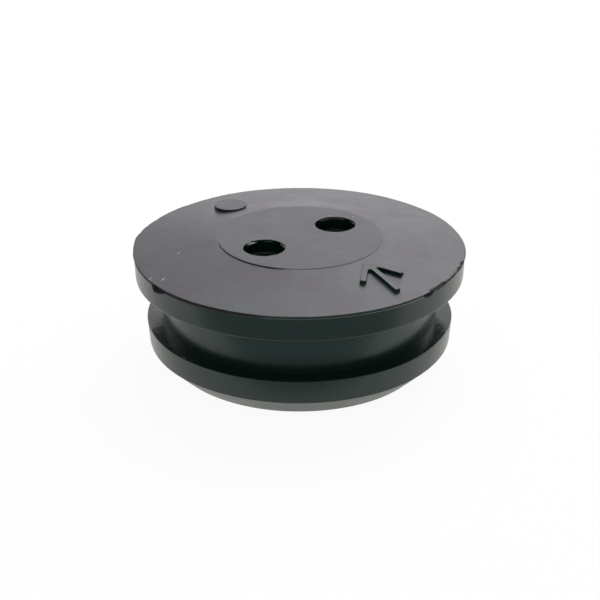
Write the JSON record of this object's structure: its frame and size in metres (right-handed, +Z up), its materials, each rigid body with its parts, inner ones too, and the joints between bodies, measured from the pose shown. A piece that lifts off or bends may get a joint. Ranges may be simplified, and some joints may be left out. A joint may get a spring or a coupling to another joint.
{
  "type": "rubber tank grommet",
  "caption": "Round black rubber grommet with a wide crowned flange, a wall groove, a tapered nose and small through holes for hoses.",
  "frame": {"origin": "centre of the flat bottom face, on the axis of the neck", "axes": "+Z up along the axis through the crown, +X along the line through the hose holes"},
  "size_m": [0.0242, 0.0242, 0.0091],
  "materials": {
    "rubber": "satin moulded black rubber with a faint green cast, smooth on the crown and slightly glossy in the groove"
  },
  "bodies": {
    "root": {"grommet": "rubber"}
  },
  "joints": []
}
